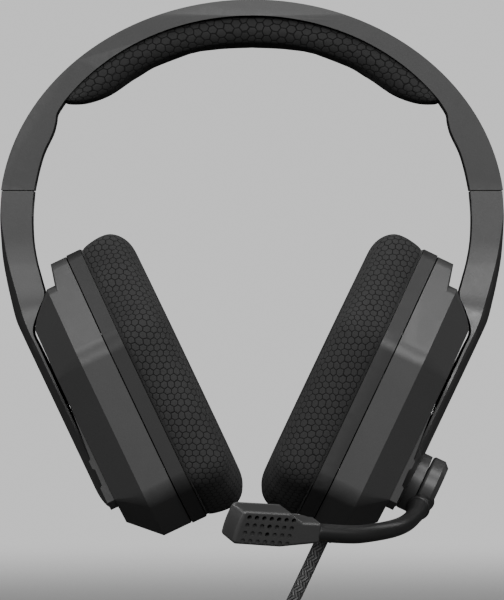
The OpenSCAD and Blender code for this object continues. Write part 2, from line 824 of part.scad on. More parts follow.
module mic_capsule_back() {
    color("#484848") at_capsule() difference() {
        union() {
            capsule_body(0, capsule_back_y, capsule_back_y + capsule_lid_t - eps);
            intersection() {
                capsule_body(1.5, capsule_back_y + 1, capsule_back_y + capsule_lid_t + 1);
                translate([9.6, -20, -20]) cube([40, 40, 40]);
            }
        }
        neck_cut();
    }
}

module mic_element() {
    color("#b0b0b0") at_capsule() translate(element_p) rotate([90, 0, 0]) cylinder(h = 4, r = 3);
}

// ---------------------------------------------------------------- cord

module strain_relief() {
    color("#1e1e1e") at_cup(LEFT) translate([relief_x, 0, 0]) difference() {
        union() {
            translate([0, 0, -cup_bottom + cup_wall]) cylinder(h = 1.4, r = 3.4);
            translate([0, 0, -cup_bottom - 1]) cylinder(h = 4, r = 2.85);
            translate([0, 0, -cup_bottom - relief_len]) cylinder(h = relief_len - eps, r1 = 3.2, r2 = 3.7);
        }
        translate([0, 0, -cup_bottom]) cylinder(h = 12, r = cord_d / 2);
    }
}

module cord_lead() {
    color("#3a3a3a") tube(curve(lead_line, 2), cord_d, cord_d, 8, [0, 1, 0]);
}

module cord_tail() {
    color("#3a3a3a") tube(curve(tail_line, 2), cord_d, cord_d, 8, [0, 1, 0]);
}

module cord_coil() {
    color("#3a3a3a") translate([coil_c.x, coil_c.y, coil_z0]) rotate_extrude($fn = 64) polygon(rounded([
        [coil_r + coil_half_w, 0, 2], [coil_r + coil_half_w, coil_h, 2],
        [coil_r - coil_half_w, coil_h, 2], [coil_r - coil_half_w, 0, 2]
    ], 3));
}

module cord_tie() {
    inner = [coil_r - coil_half_w - 1, coil_r + coil_half_w + 0.1];
    color("#181818") translate([coil_c.x, coil_c.y, floor_z]) rotate([0, 0, 180]) difference() {
        translate([inner[0] - tie_t, -5, 0]) cube([inner[1] - inner[0] + 2 * tie_t, 10, coil_h + 2 * tie_t]);
        translate([inner[0], -6, tie_t]) cube([inner[1] - inner[0], 12, coil_h + eps]);
    }
}

module plug_body() {
    color("#222222") translate([plug_x, plug_y, plug_z]) rotate([0, 90, 0]) rotate_extrude() polygon([
        [0, 0.1], [2.7, 0.1], [3.1, 6], [plug_r, 8], [plug_r, plug_len - 1], [plug_r - 1, plug_len], [0, plug_len]
    ]);
}

module plug_pin() {
    color("#c8c8c8") translate([plug_x + plug_len, plug_y, plug_z]) rotate([0, 90, 0]) rotate_extrude() polygon([
        [0, 0.05], [jack_r, 0.05], [jack_r, jack_len - 2.6], [1.1, jack_len - 1.9], [jack_r - 0.1, jack_len - 1.1], [0.6, jack_len], [0, jack_len]
    ]);
}

headband_shell();
headband_liner();
headband_spring();
headband_pad();
end_cover(LEFT);  // left_end_cover
end_cover(RIGHT);  // right_end_cover
end_cover_screws();
detent_springs();
slider(LEFT);  // left_slider
slider(RIGHT);  // right_slider
slider_screws(LEFT);  // left_slider_screws
slider_screws(RIGHT);  // right_slider_screws
arm_cover(LEFT);  // left_arm_cover
arm_cover(RIGHT);  // right_arm_cover
arm_plate(LEFT);  // left_arm_plate
arm_plate(RIGHT);  // right_arm_plate
pivot_pin(LEFT);  // left_pivot_pin
pivot_pin(RIGHT);  // right_pivot_pin
pivot_clip(LEFT);  // left_pivot_clip
pivot_clip(RIGHT);  // right_pivot_clip
pivot_nut(LEFT);  // left_pivot_nut
pivot_nut(RIGHT);  // right_pivot_nut
cup_housing(LEFT);  // left_cup_housing
cup_housing(RIGHT);  // right_cup_housing
cup_trim(LEFT);  // left_cup_trim
cup_trim(RIGHT);  // right_cup_trim
cup_ring(LEFT);  // left_cup_ring
cup_ring(RIGHT);  // right_cup_ring
baffle(LEFT);  // left_baffle
baffle(RIGHT);  // right_baffle
driver_basket(LEFT);  // left_driver_basket
driver_basket(RIGHT);  // right_driver_basket
driver_magnet(LEFT);  // left_driver_magnet
driver_magnet(RIGHT);  // right_driver_magnet
diaphragm(LEFT);  // left_diaphragm
diaphragm(RIGHT);  // right_diaphragm
ear_cloth(LEFT);  // left_ear_cloth
ear_cloth(RIGHT);  // right_ear_cloth
cushion(LEFT);  // left_cushion
cushion(RIGHT);  // right_cushion
cup_screws(LEFT);  // left_cup_screws
cup_screws(RIGHT);  // right_cup_screws
circuit_board();
volume_pot();
volume_wheel();
mic_hub_base();
mic_hub_cap();
mic_hub_screw();
mic_boom();
mic_capsule_front();
mic_capsule_back();
mic_element();
strain_relief();
cord_lead();
cord_coil();
cord_tail();
cord_tie();
plug_body();
plug_pin();
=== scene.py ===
import json
import math

import bmesh
import bpy
from mathutils import Matrix, Vector, noise


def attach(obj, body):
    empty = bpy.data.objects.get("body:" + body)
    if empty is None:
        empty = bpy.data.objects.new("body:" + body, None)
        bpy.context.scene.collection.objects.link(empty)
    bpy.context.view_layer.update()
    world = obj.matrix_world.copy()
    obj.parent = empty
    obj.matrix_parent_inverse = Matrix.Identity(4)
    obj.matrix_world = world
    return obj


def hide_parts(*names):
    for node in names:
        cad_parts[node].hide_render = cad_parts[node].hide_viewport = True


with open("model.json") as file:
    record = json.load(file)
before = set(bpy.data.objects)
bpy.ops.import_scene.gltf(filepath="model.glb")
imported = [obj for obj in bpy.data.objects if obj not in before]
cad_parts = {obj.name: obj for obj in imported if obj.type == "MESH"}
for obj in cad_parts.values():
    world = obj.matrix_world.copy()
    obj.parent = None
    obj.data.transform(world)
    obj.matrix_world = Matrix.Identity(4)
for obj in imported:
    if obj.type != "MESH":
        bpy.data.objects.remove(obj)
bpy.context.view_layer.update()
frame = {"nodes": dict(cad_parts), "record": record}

MM = 0.001
NODES = frame["nodes"]
LEFT, RIGHT = 1, -1
SIDE_NAME = {LEFT: "left", RIGHT: "right"}

# Ear cup frame, as the CAD model has it: X outwards from the ear, Y back, Z up along the cup
CUP_TILT = math.radians(25.4)
CUP_X, CUP_Z = 39.6, -114.9
CUP_TOP, CUP_BOTTOM, CUP_DEPTH = 49.3, 50.0, 84.0
RING_X0 = -2.9

# Headband ellipses
BAND_A, BAND_B, BAND_ZC = 77.5, 67.7, -57.5
PAD_END_ANGLE = math.radians(36.5)

# Cord, coil and plug
CORD_D = 4.4
FLOOR_Z = -228.0
COIL_C = (-34.0, -30.6)
COIL_R, COIL_PITCH, COIL_LAYERS, COIL_TURNS = 24.0, 4.3, 4, 12.5
COIL_Z0 = FLOOR_Z + 1.0
PLUG_Y = COIL_C[1] - COIL_R - 1.5 * CORD_D
PLUG_X, PLUG_LEN, PLUG_R = 14.0, 25.0, 4.4
LEAD_LINE = [
    (23.85, 0, -167.42), (17.7, 0, -180.4), (13.4, 0, -189.4), (9, 0, -198.4), (3.6, 0, -207.4),
    (-3.4, 0, -215.4), (-12, 0, -221.4), (-22, 0, -224.4), (COIL_C[0], 0, COIL_Z0 + CORD_D / 2),
]
TAIL_TOP = COIL_Z0 + CORD_D / 2 + (COIL_LAYERS - 1) * COIL_PITCH
TAIL_LINE = [
    (COIL_C[0], PLUG_Y, TAIL_TOP), (-26, PLUG_Y, TAIL_TOP), (-17, PLUG_Y, -214.6), (-8, PLUG_Y, -218.4),
    (1, PLUG_Y, -221.8), (8, PLUG_Y, -223.3), (PLUG_X, PLUG_Y, FLOOR_Z + PLUG_R),
]

# Boom, from the hub to the capsule
BOOM_D = 6.2
BOOM_LINE = [
    (58.5, -5, -154.2), (56.2, -14, -156.2), (54.4, -29, -158.8), (51.3, -44, -160.9),
    (46.9, -56, -162.3), (40.4, -66, -163.3), (33.3, -73, -163.8), (22.3, -80.5, -163),
]


# ---------------------------------------------------------------- camera

def make_camera():
    cam = bpy.data.objects.new("camera", bpy.data.cameras.new("camera"))
    bpy.context.scene.collection.objects.link(cam)
    cam.location = (0, -3, -0.086)
    cam.rotation_euler = (math.radians(90), 0, 0)
    cam.data.lens = 529.4
    cam.data.sensor_width = 36
    cam.data.clip_end = 60
    bpy.context.scene.camera = cam


make_camera()


# ---------------------------------------------------------------- geometry helpers

def smooth_line(points, steps):
    """Catmull-Rom curve through points, as the CAD model makes it."""
    pts = [Vector(p) for p in points]
    last = len(pts) - 1
    line = []
    for i in range(last):
        a, b = pts[max(i - 1, 0)], pts[i]
        c, d = pts[i + 1], pts[min(i + 2, last)]
        for k in range(steps):
            t = k / steps
            line.append(0.5 * (2 * b + (c - a) * t + (2 * a - 5 * b + 4 * c - d) * t * t
                               + (3 * b - a - 3 * c + d) * t * t * t))
    return line + [pts[-1]]


def arc_lengths(line):
    total, out = 0.0, [0.0]
    for a, b in zip(line, line[1:]):
        total += (b - a).length
        out.append(total)
    return out


def resample(line, spacing):
    """The same line with points at equal distances."""
    along = arc_lengths(line)
    count = max(2, round(along[-1] / spacing))
    out, i = [], 0
    for k in range(count + 1):
        want = along[-1] * k / count
        while i < len(along) - 2 and along[i + 1] < want:
            i += 1
        t = (want - along[i]) / max(along[i + 1] - along[i], 1e-9)
        out.append(line[i].lerp(line[i + 1], min(max(t, 0), 1)))
    return out


def new_piece(name, verts, faces, uvs=None, scale=MM):
    """A mesh object from millimetre points, with one UV pair per face corner."""
    mesh = bpy.data.meshes.new(name)
    mesh.from_pydata([tuple(c * scale for c in v) for v in verts], [], faces)
    if uvs:
        layer = mesh.uv_layers.new(name="UVMap")
        for loop, uv in zip(layer.data, uvs):
            loop.uv = uv
    mesh.validate()
    for poly in mesh.polygons:
        poly.use_smooth = True
    obj = bpy.data.objects.new(name, mesh)
    bpy.context.scene.collection.objects.link(obj)
    return obj


def tube_piece(name, line, radius_at, sides, caps=True):
    """A mesh tube along a line. radius_at(s, angle) is in millimetres, s runs from 0 to 1."""
    along = arc_lengths(line)
    verts, faces, uvs = [], [], []
    normal = None
    for i, p in enumerate(line):
        t = (line[min(i + 1, len(line) - 1)] - line[max(i - 1, 0)]).normalized()
        if normal is None:
            normal = t.orthogonal().normalized()
        normal = (normal - t * normal.dot(t)).normalized()
        other = t.cross(normal)
        for k in range(sides):
            a = 2 * math.pi * k / sides
            outwards = normal * math.cos(a) + other * math.sin(a)
            verts.append(p + outwards * radius_at(along[i] / along[-1], a))
    around = 2 * math.pi * radius_at(0.5, 0)
    for i in range(len(line) - 1):
        for k in range(sides):
            j = (k + 1) % sides
            faces.append((i * sides + k, i * sides + j, (i + 1) * sides + j, (i + 1) * sides + k))
            u0, u1 = k / sides * around, (k + 1) / sides * around
            uvs += [(u0, along[i]), (u1, along[i]), (u1, along[i + 1]), (u0, along[i + 1])]
    if caps:
        faces.append(tuple(range(sides - 1, -1, -1)))
        uvs += [(0, 0)] * sides
        last = (len(line) - 1) * sides
        faces.append(tuple(range(last, last + sides)))
        uvs += [(0, 0)] * sides
    return new_piece(name, verts, faces, uvs)


def lathe_piece(name, profile, matrix, sides=48):
    """A turned piece. profile is (radius, distance along the axis) in millimetres, along matrix's X."""
    verts, faces = [], []
    for r, x in profile:
        for k in range(sides):
            a = 2 * math.pi * k / sides
            verts.append(matrix @ Vector((x, r * math.cos(a), r * math.sin(a))))
    for i in range(len(profile) - 1):
        for k in range(sides):
            j = (k + 1) % sides
            faces.append((i * sides + k, i * sides + j, (i + 1) * sides + j, (i + 1) * sides + k))
    faces.append(tuple(range(sides - 1, -1, -1)))
    last = (len(profile) - 1) * sides
    faces.append(tuple(range(last, last + sides)))
    return new_piece(name, verts, faces)


def cup_matrix(side):
    """From a cup's own frame to the object's frame, both in millimetres."""
    place = Matrix.Translation((CUP_X, 0, CUP_Z)) @ Matrix.Rotation(CUP_TILT, 4, "Y")
    return place if side == LEFT else Matrix.Scale(-1, 4, (1, 0, 0)) @ place


def turn_faces_out(obj):
    bm = bmesh.new()
    bm.from_mesh(obj.data)
    bmesh.ops.recalc_face_normals(bm, faces=bm.faces)
    bm.to_mesh(obj.data)
    bm.free()


# ---------------------------------------------------------------- cord

def coil_line():
    """Spiral turns in layers, in and out by turns, stepping up between layers."""
    r_out, r_in = COIL_R + 1.5 * CORD_D, COIL_R - 1.5 * CORD_D
    steps = round(COIL_TURNS * 36)
    per_layer = COIL_TURNS / COIL_LAYERS
    ramp = 0.16
    line = []
    for k in range(steps + 1):
        turn = COIL_TURNS * k / steps
        layer = min(int(turn / per_layer), COIL_LAYERS - 1)
        part = turn / per_layer - layer
        r = r_out + (r_in - r_out) * (part if layer % 2 == 0 else 1 - part)
        rise = 0.0
        to_next = (1 - part) * per_layer
        from_last = part * per_layer
        if layer < COIL_LAYERS - 1 and to_next < ramp:
            t = 0.5 - 0.5 * to_next / ramp
            rise = 2 * t * t
        elif layer > 0 and from_last < ramp:
            t = 0.5 - 0.5 * from_last / ramp
            rise = -2 * t * t
        z = COIL_Z0 + CORD_D / 2 + COIL_PITCH * (layer + rise)
        a = math.radians(90) + 2 * math.pi * turn
        line.append(Vector((COIL_C[0] + r * math.cos(a), COIL_C[1] + r * math.sin(a), z)))
    return line


def make_cord():
    line = smooth_line(LEAD_LINE, 8)[:-1] + coil_line() + smooth_line(TAIL_LINE, 8)[1:]
    line = resample(line, 1.5)
    cord = tube_piece("cord", line, lambda s, a: CORD_D / 2, 16)
    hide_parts("cord_lead", "cord_coil", "cord_tail")
    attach(cord, "left_cup")
    return cord, line


def make_plug_pin():
    """Four-pole jack: tip, two rings and sleeve, parted by insulators."""
    place = Matrix.Translation((PLUG_X + PLUG_LEN, PLUG_Y, FLOOR_Z + PLUG_R))
    pin = lathe_piece("jack_pin_poles", [
        (1.72, 0.05), (1.75, 0.2), (1.75, 4.4), (1.6, 4.4), (1.6, 5.1), (1.75, 5.1), (1.75, 7.1),
        (1.6, 7.1), (1.6, 7.8), (1.75, 7.8), (1.75, 9.6), (1.6, 9.6), (1.6, 10.3), (1.75, 10.3),
        (1.75, 11.4), (1.5, 11.8),
        (1.15, 12.1), (1.2, 12.4), (1.62, 12.8), (1.45, 13.3), (0.9, 13.8), (0.4, 13.98),
    ], place, 32)
    band = [(1.5, 4.42), (1.68, 4.42), (1.68, 5.08), (1.5, 5.08)]
    bands = lathe_piece("jack_pin_insulators", band, place, 32)
    bm = bmesh.new()
    bm.from_mesh(bands.data)
    ring = bm.verts[:] + bm.edges[:] + bm.faces[:]
    for step in (2.7, 5.2):
        copy = bmesh.ops.duplicate(bm, geom=ring)["geom"]
        moved = [v for v in copy if isinstance(v, bmesh.types.BMVert)]
        bmesh.ops.translate(bm, verts=moved, vec=(step * MM, 0, 0))
    bm.to_mesh(bands.data)
    bm.free()
    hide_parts("plug_pin")
    for piece, slot in ((pin, "jack_metal"), (bands, "plug_plastic")):
        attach(piece, "left_cup")
    return pin, bands


cord, cord_path = make_cord()
jack_pin, jack_bands = make_plug_pin()
cord_length = arc_lengths(cord_path)[-1] * MM


# ---------------------------------------------------------------- cushions

def cup_corners():
    """Corners of the cup's side outline as (y, z, radius), counter-clockwise."""
    half = CUP_DEPTH / 2
    right = [(20, -CUP_BOTTOM, 6), (half, -37.4, 8), (half, 16.7, 12), (18, CUP_TOP, 6)]
    return right + [(-y, z, r) for y, z, r in reversed(right)]


def outline(corners, inset, least_r, per_corner, per_side):
    """The rounded outline moved inwards, always with the same number of points."""
    n = len(corners)
    pts = [Vector(c[:2]) for c in corners]
    moved = []
    for i in range(n):
        e1 = (pts[i] - pts[i - 1]).normalized()
        e2 = (pts[(i + 1) % n] - pts[i]).normalized()
        n1, n2 = Vector((-e1.y, e1.x)), Vector((-e2.y, e2.x))
        moved.append(pts[i] + (n1 + n2) * (inset / (1 + n1.dot(n2))))
    arcs = []
    for i in range(n):
        b, r = moved[i], max(least_r, corners[i][2] - inset)
        u, v = (moved[i - 1] - b).normalized(), (moved[(i + 1) % n] - b).normalized()
        half = math.acos(max(-1, min(1, u.dot(v)))) / 2
        room = 0.46 * (moved[i - 1] - b).length, 0.46 * (moved[(i + 1) % n] - b).length
        reach = min(r / math.tan(half), *room)
        r = reach * math.tan(half)
        centre = b + (u + v).normalized() * (r / math.sin(half))
        s, e = b + u * reach - centre, b + v * reach - centre
        a0 = math.atan2(s.y, s.x)
        turn = (math.atan2(e.y, e.x) - a0 + 3 * math.pi) % (2 * math.pi) - math.pi
        angles = [a0 + turn * k / per_corner for k in range(per_corner + 1)]
        arcs.append([centre + Vector((math.cos(a), math.sin(a))) * r for a in angles])
    out = []
    for i in range(n):
        out += arcs[i]
        start, end = arcs[i][-1], arcs[(i + 1) % n][0]
        out += [start.lerp(end, k / per_side) for k in range(1, per_side)]
    return out


def puff(obj, held, pressure, cap, frames=16):
    """Inflates a closed cover with the cloth solver. Held points stay, and none moves more than cap."""
    group = obj.vertex_groups.new(name="held")
    group.add(held, 1.0, "REPLACE")
    before = [v.co.copy() for v in obj.data.vertices]
    cloth = obj.modifiers.new("inflate", "CLOTH")
    cloth.settings.quality = 5
    cloth.settings.mass = 0.15
    cloth.settings.tension_stiffness = cloth.settings.compression_stiffness = 12
    cloth.settings.bending_stiffness = 0.6
    cloth.settings.use_pressure = True
    cloth.settings.uniform_pressure_force = pressure
    cloth.settings.vertex_group_mass = "held"
    cloth.settings.effector_weights.gravity = 0
    cloth.collision_settings.use_collision = False
    scene = bpy.context.scene
    for number in range(1, frames + 1):
        scene.frame_set(number)
    shape = obj.evaluated_get(bpy.context.evaluated_depsgraph_get()).data
    after = [v.co.copy() for v in shape.vertices]
    obj.modifiers.remove(cloth)
    scene.frame_set(1)
    for v, old, new in zip(obj.data.vertices, before, after):
        move = new - old
        if move.length > cap * MM:
            move *= cap * MM / move.length
        v.co = old + move


# Cushion section: how far inwards from the cup's outline, and how far out from the cup
CUSHION_SECTION = smooth_line([
    (1.6, RING_X0 - 0.1, 0), (0.9, RING_X0 - 0.5, 0), (-0.1, -4.4, 0), (-0.9, -7.6, 0),
    (-1.2, -11.2, 0), (-0.6, -14.3, 0), (1.6, -17.1, 0), (5.2, -18.9, 0), (9.6, -19.4, 0),
    (13.9, -18.8, 0), (17.3, -17, 0), (19.2, -13.8, 0), (19.7, -10, 0), (19.6, -3.2, 0),
], 4)
HEX_PITCH = 2.42
FABRIC_TURN = CUP_TILT


def make_cushion(side):
    rings = [outline(cup_corners(), q.x, 5.0, 8, 9) for q in CUSHION_SECTION]
    place = cup_matrix(side)
    count, levels = len(rings[0]), len(rings)
    verts = [place @ Vector((q.y, p.x, p.y)) for q, ring in zip(CUSHION_SECTION, rings) for p in ring]
    widest = rings[levels // 3]
    lengths = [0.0]
    for k in range(count):
        lengths.append(lengths[-1] + (widest[(k + 1) % count] - widest[k]).length)
    across = arc_lengths([Vector((q.x, q.y, 0)) for q in CUSHION_SECTION])
    faces, uvs = [], []
    cos_t, sin_t = math.cos(FABRIC_TURN), math.sin(FABRIC_TURN)
    for i in range(levels - 1):
        for k in range(count):
            j = (k + 1) % count
            quad = [(i, k, k), (i, j, k + 1), (i + 1, j, k + 1), (i + 1, k, k)]
            faces.append(tuple(a * count + b for a, b, _ in quad))
            for a, _, c in quad:
                u, v = lengths[c], across[a]
                uvs.append((u * cos_t - v * sin_t, u * sin_t + v * cos_t))
    last = (levels - 1) * count
    for k in range(count):
        j = (k + 1) % count
        faces.append((last + k, last + j, j, k))
        uvs += [(0, 0)] * 4
    piece = new_piece(SIDE_NAME[side] + "_cushion_cover", verts, faces, uvs)
    turn_faces_out(piece)
    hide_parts(SIDE_NAME[side] + "_cushion")
    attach(piece, SIDE_NAME[side] + "_cup")
    held_rings = [i for i, q in enumerate(CUSHION_SECTION) if q.y > -3.9 or i > levels - 6]
    held = [i * count + k for i in held_rings for k in range(count)]
    puff(piece, held, 4.0, 1.4)
    return piece


def ring_tube(name, side, inset, x, radius, sides=10):
    """A round welt that follows the cup's outline."""
    place = cup_matrix(side)
    line = [place @ Vector((x, p.x, p.y)) for p in outline(cup_corners(), inset, 5.0, 8, 9)]
    count = len(line)
    verts, faces, uvs = [], [], []
    outwards = place.to_3x3() @ Vector((1, 0, 0))
    along = 0.0
    for i, p in enumerate(line):
        t = (line[(i + 1) % count] - line[i - 1]).normalized()
        n = t.cross(outwards).normalized()
        for k in range(sides):
            a = 2 * math.pi * k / sides
            verts.append(p + (n * math.cos(a) + outwards * math.sin(a)) * radius)
    for i in range(count):
        step = (line[(i + 1) % count] - line[i]).length
        for k in range(sides):
            j, m = (k + 1) % sides, (i + 1) % count
            faces.append((i * sides + k, i * sides + j, m * sides + j, m * sides + k))
            u0, u1 = k / sides * 2 * math.pi * radius, (k + 1) / sides * 2 * math.pi * radius
            uvs += [(u0, along), (u1, along), (u1, along + step), (u0, along + step)]
        along += step
    piece = new_piece(name, verts, faces, uvs)
    turn_faces_out(piece)
    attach(piece, SIDE_NAME[side] + "_cup")
    return piece


def make_stitches(side):
    """A row of stitches where the cover meets its lining, inside the ear opening."""
    place = cup_matrix(side)
    line = [place @ Vector((-16.6, p.x, p.y)) for p in outline(cup_corners(), 18.2, 5.0, 8, 9)]
    points = resample(line + [line[0]], 1.55)
    verts, faces = [], []
    for a, b in zip(points[0::2], points[1::2]):
        along = (b - a).normalized()
        inwards = place.to_3x3() @ Vector((-1, 0, 0))
        beside = along.cross(inwards).normalized()
        start = len(verts)
        shares = [(-0.1, 0.02), (0.06, 0.16), (0.5, 0.24), (0.94, 0.16), (1.1, 0.02)]
        for share, r in shares:
            middle = a.lerp(b, share) + inwards * 0.12
            for k in range(6):
                t = 2 * math.pi * k / 6
                verts.append(middle + (beside * math.cos(t) + inwards * math.sin(t)) * r)
        for i in range(len(shares) - 1):
            for k in range(6):
                j = (k + 1) % 6
                here, ahead = start + i * 6, start + (i + 1) * 6
                faces.append((here + k, here + j, ahead + j, ahead + k))
        faces.append(tuple(start + k for k in range(5, -1, -1)))
        faces.append(tuple(start + (len(shares) - 1) * 6 + k for k in range(6)))
    piece = new_piece(SIDE_NAME[side] + "_cushion_stitches", verts, faces)
    turn_faces_out(piece)
    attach(piece, SIDE_NAME[side] + "_cup")
    return piece


cushions = [make_cushion(LEFT), make_cushion(RIGHT)]
welts = []
for side in (LEFT, RIGHT):
    welts.append(ring_tube(SIDE_NAME[side] + "_cushion_welt", side, 0.75, RING_X0 - 0.62, 0.5))
stitches = [make_stitches(LEFT), make_stitches(RIGHT)]


# ---------------------------------------------------------------- headband pad

PAD_UNDER = [
    (0, 0), (10.5, -0.6), (20.9, -2.4), (32.8, -6.5), (40, -10.5),
    (48.1, -16.3), (55.6, -19.1), (61.5, -19.5), (63.3, -19.1),
]
PAD_HALF_DEPTH = 16.4


def make_pad():
    """Sections across the band from one wing to the other: flat on the liner, crowned below."""
    half = smooth_line([(x, 0, z) for x, z in PAD_UNDER], 6)
    under = [Vector((-p.x, 0, p.z)) for p in reversed(half[1:])] + half
    tops = []
    for p in under:
        a = math.pi / 2 - math.atan2(p.x / BAND_A, (p.z - BAND_ZC) / BAND_B)
        a = min(max(a, PAD_END_ANGLE), math.pi - PAD_END_ANGLE)
        tops.append(Vector((BAND_A * math.cos(a), 0, BAND_ZC + BAND_B * math.sin(a) - 0.05)))
    # Cross-section as (place across, share of the thickness): round edges and a crowned underside
    ring = []
    for k in range(25):
        y = -1 + 2 * k / 24
        past_edge = max(0, abs(y) - 0.86)
        ring.append((y, 1 - 0.16 * abs(y) ** 2.4 - 0.3 * past_edge / 0.14 * past_edge / 0.14))
    ring += [(1.0, 0.42), (0.995, 0.28), (0.985, 0.14), (0.955, 0.03)]
    ring += [(0.955 * math.cos(math.pi * k / 10), 0.0) for k in range(1, 10)]
    ring += [(-0.955, 0.03), (-0.985, 0.14), (-0.995, 0.28), (-1.0, 0.42)]
    count = len(ring)
    verts, faces, uvs = [], [], []
    along = arc_lengths(under)
    middle = along[-1] / 2
    for i, (lower, upper) in enumerate(zip(under, tops)):
        from_end = min(along[i], along[-1] - along[i])
        narrow = 1 - 0.10 * max(0, 1 - from_end / 9) ** 2
        for y, share in ring:
            p = upper.lerp(lower, share)
            verts.append((p.x, y * PAD_HALF_DEPTH * narrow, p.z))
    around = [0.0]
    for (y0, s0), (y1, s1) in zip(ring, ring[1:] + ring[:1]):
        around.append(around[-1] + math.hypot((y1 - y0) * PAD_HALF_DEPTH, (s1 - s0) * 10))
    for i in range(len(under) - 1):
        for k in range(count):
            j = (k + 1) % count
            faces.append((i * count + k, i * count + j, (i + 1) * count + j, (i + 1) * count + k))
            uvs += [(along[i] - middle, around[k]), (along[i] - middle, around[k + 1]),
                    (along[i + 1] - middle, around[k + 1]), (along[i + 1] - middle, around[k])]
    faces.append(tuple(range(count - 1, -1, -1)))
    uvs += [(ring[count - 1 - k][0] * PAD_HALF_DEPTH, ring[count - 1 - k][1] * 6) for k in range(count)]
    last = (len(under) - 1) * count
    faces.append(tuple(range(last, last + count)))
    uvs += [(ring[k][0] * PAD_HALF_DEPTH, ring[k][1] * 6) for k in range(count)]
    pad = new_piece("headband_pad_cover", verts, faces, uvs)
    turn_faces_out(pad)
    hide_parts("headband_pad")
    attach(pad, "headband")
    held = [i * count + k for i in range(len(under)) for k, (y, share) in enumerate(ring) if share < 0.1]
    puff(pad, held, 3.0, 0.9)
    bevel = pad.modifiers.new("round", "BEVEL")
    bevel.width, bevel.segments, bevel.limit_method, bevel.angle_limit = 0.0012, 3, "ANGLE", math.radians(50)
    return pad


pad = make_pad()


# ---------------------------------------------------------------- boom

def make_boom():
    """Rubber sleeve with a thicker moulded boot where it leaves the hub."""
    line = resample(smooth_line(BOOM_LINE + [(20.9, -81.1, -163)], 20), 0.25)
    total = arc_lengths(line)[-1]
    lip, boot_end = 10.6, 27.0

    def radius(s, a):
        at = s * total
        r = (BOOM_D - 0.6 + 0.6 * s) / 2
        if at < boot_end:
            share = min(1, (boot_end - at) / (boot_end - lip))
            r += 0.75 * share * share * (3 - 2 * share)
        if abs(at - lip) < 0.8:
            r += 0.65 * math.sqrt(1 - ((at - lip) / 0.8) ** 2)
        return r

    boom = tube_piece("mic_boom_sleeve", line, radius, 40)
    turn_faces_out(boom)
    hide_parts("mic_boom")
    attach(boom, "mic_arm")
    return boom


boom = make_boom()


# ---------------------------------------------------------------- microphone capsule

# Seen from its face, in the capsule's own frame: neck at the left, slanted free end at the right
CAPSULE_FORM = [(0.8, -2.8), (14.9, -3.95), (32.5, -2.6), (29.5, 8.95), (12.8, 7.9), (7.9, 4.7), (0.8, 4.3)]
CAPSULE_ROOM = [(9.5, -2.1), (14.9, -2.55), (30.7, -1.33), (28.4, 7.48), (13.2, 6.5), (9.5, 4.07)]
CAPSULE_FACE, CAPSULE_LID = 3.2, -5.7
CAPSULE_PLACE = (Matrix.Translation(BOOM_LINE[-1]) @ Matrix.Rotation(math.radians(204), 4, "Z")
                 @ Matrix.Rotation(math.radians(-17), 4, "X"))


def prism(name, points, y0, y1):
    count = len(points)
    verts = [CAPSULE_PLACE @ Vector((x, y, z)) for y in (y0, y1) for x, z in points]
    faces = [tuple(range(count)), tuple(range(2 * count - 1, count - 1, -1))]
    faces += [(k, (k + 1) % count, (k + 1) % count + count, k + count) for k in range(count)]
    piece = new_piece(name, verts, faces)
    turn_faces_out(piece)
    return piece


def cut_out(piece, cutter):
    """Subtracts one piece from another and removes it."""
    cut = piece.modifiers.new("cut", "BOOLEAN")
    cut.object, cut.operation, cut.solver = cutter, "DIFFERENCE", "EXACT"
    shape = bpy.data.meshes.new_from_object(piece.evaluated_get(bpy.context.evaluated_depsgraph_get()))
    piece.modifiers.remove(cut)
    piece.data = shape
    bpy.data.objects.remove(cutter)


def capsule_half(name, levels, least_x):
    """Half of the capsule from (inset, depth) levels: rounded corners and a bulged free end."""
    corners = [(x, z, 1.3) for x, z in CAPSULE_FORM]
    foot, tip = Vector(CAPSULE_FORM[2]), Vector(CAPSULE_FORM[3])
    end = tip - foot
    verts, faces = [], []
    for inset, y in levels:
        for q in outline(corners, inset, 0.35, 6, 5):
            share = (q - foot).dot(end) / end.length_squared
            away = abs((q.x - foot.x) * end.y - (q.y - foot.y) * end.x) / end.length
            bulge = 0.6 * max(0.0, 1 - (2 * share - 1) ** 2) * max(0.0, 1 - away / 2.5)
            neck = -3.2 - max(0.0, max(q.x, least_x) - 3) * 1.28
            verts.append(CAPSULE_PLACE @ Vector((max(q.x + bulge, least_x), max(y, neck), q.y)))
    count = len(verts) // len(levels)
    faces.append(tuple(range(count)))
    for i in range(len(levels) - 1):
        for k in range(count):
            j = (k + 1) % count
            faces.append((i * count + k, i * count + j, (i + 1) * count + j, (i + 1) * count + k))
    faces.append(tuple(range(len(verts) - 1, len(verts) - count - 1, -1)))
    piece = new_piece(name, verts, faces)
    turn_faces_out(piece)
    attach(piece, "mic_arm")
    return piece


def rim_levels(y, way, rim):
    """The levels that round a rim off towards the face at depth y."""
    turns = [math.pi / 12 * k for k in range(7)]
    return [(rim * (1 - math.cos(t)), y - way * rim * (1 - math.sin(t))) for t in turns]


def finish_capsule(piece, node):
    piece.data.set_sharp_from_angle(angle=math.radians(38))
    even = piece.modifiers.new("even_normals", "WEIGHTED_NORMAL")
    even.keep_sharp = True
    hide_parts(node)
    return piece


